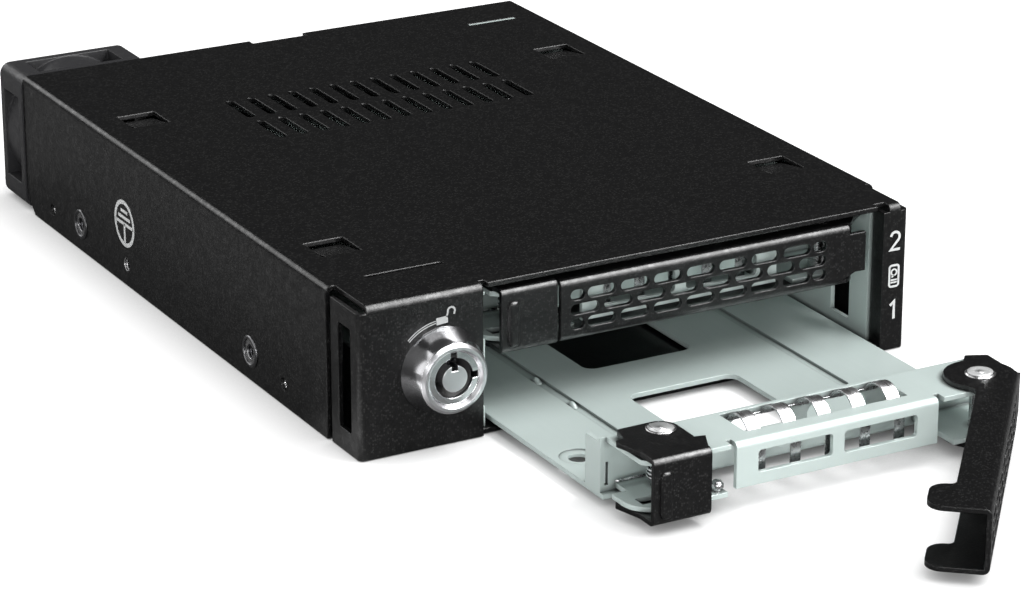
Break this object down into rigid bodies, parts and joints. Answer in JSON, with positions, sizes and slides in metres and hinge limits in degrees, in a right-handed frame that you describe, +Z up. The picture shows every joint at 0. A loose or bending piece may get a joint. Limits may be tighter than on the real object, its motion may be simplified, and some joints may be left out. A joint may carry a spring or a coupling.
{
  "type": "drive bay adapter",
  "caption": "Flat black steel housing for a 3.5 inch bay that holds small drives on zinc-plated trays with perforated swing levers and push latches, with a key lock and a rear fan.",
  "frame": {"origin": "centre of the housing's underside, half way between its front and rear edges", "axes": "+X to the right seen from the front, +Y from the front towards the rear, +Z up"},
  "size_m": [0.1019, 0.2291, 0.0254],
  "materials": {
    "black_sheet": "fine satin black powder coat on folded steel",
    "zinc_sheet": "zinc-plated steel sheet with a soft sheen",
    "board_green": "green solder-masked circuit board",
    "black_plastic": "moulded black connector plastic",
    "fan_plastic": "moulded black fan plastic",
    "black_screw": "blackened steel",
    "lock_chrome": "polished chrome plate",
    "plain_steel": "nickel-plated steel",
    "spring_metal": "bright spring sheet",
    "lever_black": "satin black coat on folded steel"
  },
  "bodies": {
    "chassis": {"backplane_board": "board_green", "backplane_bracket": "zinc_sheet", "bottom_plate": "black_sheet", "case_screws": "black_screw", "fan_frame": "fan_plastic", "fan_screws": "black_screw", "left_guide": "zinc_sheet", "lock_housing": "lock_chrome", "lock_nut": "plain_steel", "lower_data_port": "black_plastic", "lower_drive_receptacle": "black_plastic", "power_inlet": "black_plastic", "rear_panel": "black_sheet", "right_guide": "zinc_sheet", "side_inserts": "plain_steel", "top_cover": "black_sheet", "upper_data_port": "black_plastic", "upper_drive_receptacle": "black_plastic"},
    "fan": {"fan_impeller": "fan_plastic"},
    "lock": {"lock_plug": "lock_chrome", "lock_cam": "plain_steel", "lock_cam_screw": "plain_steel"},
    "lower_tray": {"lower_tray": "zinc_sheet", "lower_emi_strip": "spring_metal", "lower_lever_pivot": "plain_steel", "lower_latch_pivot": "plain_steel", "lower_latch_spring": "plain_steel", "lower_spring_post": "plain_steel"},
    "lower_lever": {"lower_lever": "lever_black"},
    "lower_latch": {"lower_latch": "lever_black"},
    "upper_tray": {"upper_tray": "zinc_sheet", "upper_emi_strip": "spring_metal", "upper_lever_pivot": "plain_steel", "upper_latch_pivot": "plain_steel", "upper_latch_spring": "plain_steel", "upper_spring_post": "plain_steel"},
    "upper_lever": {"upper_lever": "lever_black"},
    "upper_latch": {"upper_latch": "lever_black"}
  },
  "joints": [
    {"name": "fan_spin", "type": "hinge", "parent": "chassis", "child": "fan", "pos_m": [-0.0386, 0.0711, 0.0128], "axis": [0, 1, 0], "continuous": true},
    {"name": "lock_turn", "type": "hinge", "parent": "chassis", "child": "lock", "pos_m": [-0.0362, -0.0595, 0.0126], "axis": [0, -1, 0], "range_deg": [0, 90]},
    {"name": "lower_tray_slide", "type": "slide", "parent": "chassis", "child": "lower_tray", "axis": [0, -1, 0], "range_m": [-0.0463, 0.07]},
    {"name": "upper_tray_slide", "type": "slide", "parent": "chassis", "child": "upper_tray", "axis": [0, -1, 0], "range_m": [0, 0.1163]},
    {"name": "lower_lever_swing", "type": "hinge", "parent": "lower_tray", "child": "lower_lever", "pos_m": [0.0367, -0.1074, 0.0068], "axis": [0, 0, 1], "range_deg": [-50, 5]},
    {"name": "lower_latch_press", "type": "hinge", "parent": "lower_tray", "child": "lower_latch", "pos_m": [-0.0184, -0.1031, 0.007], "axis": [0, 0, 1], "range_deg": [-9, 0], "stiffness_Nm_per_rad": 0.05},
    {"name": "upper_lever_swing", "type": "hinge", "parent": "upper_tray", "child": "upper_lever", "pos_m": [0.0367, -0.0611, 0.0181], "axis": [0, 0, 1], "range_deg": [0, 55]},
    {"name": "upper_latch_press", "type": "hinge", "parent": "upper_tray", "child": "upper_latch", "pos_m": [-0.0184, -0.0568, 0.0183], "axis": [0, 0, 1], "range_deg": [-9, 0], "stiffness_Nm_per_rad": 0.05}
  ]
}
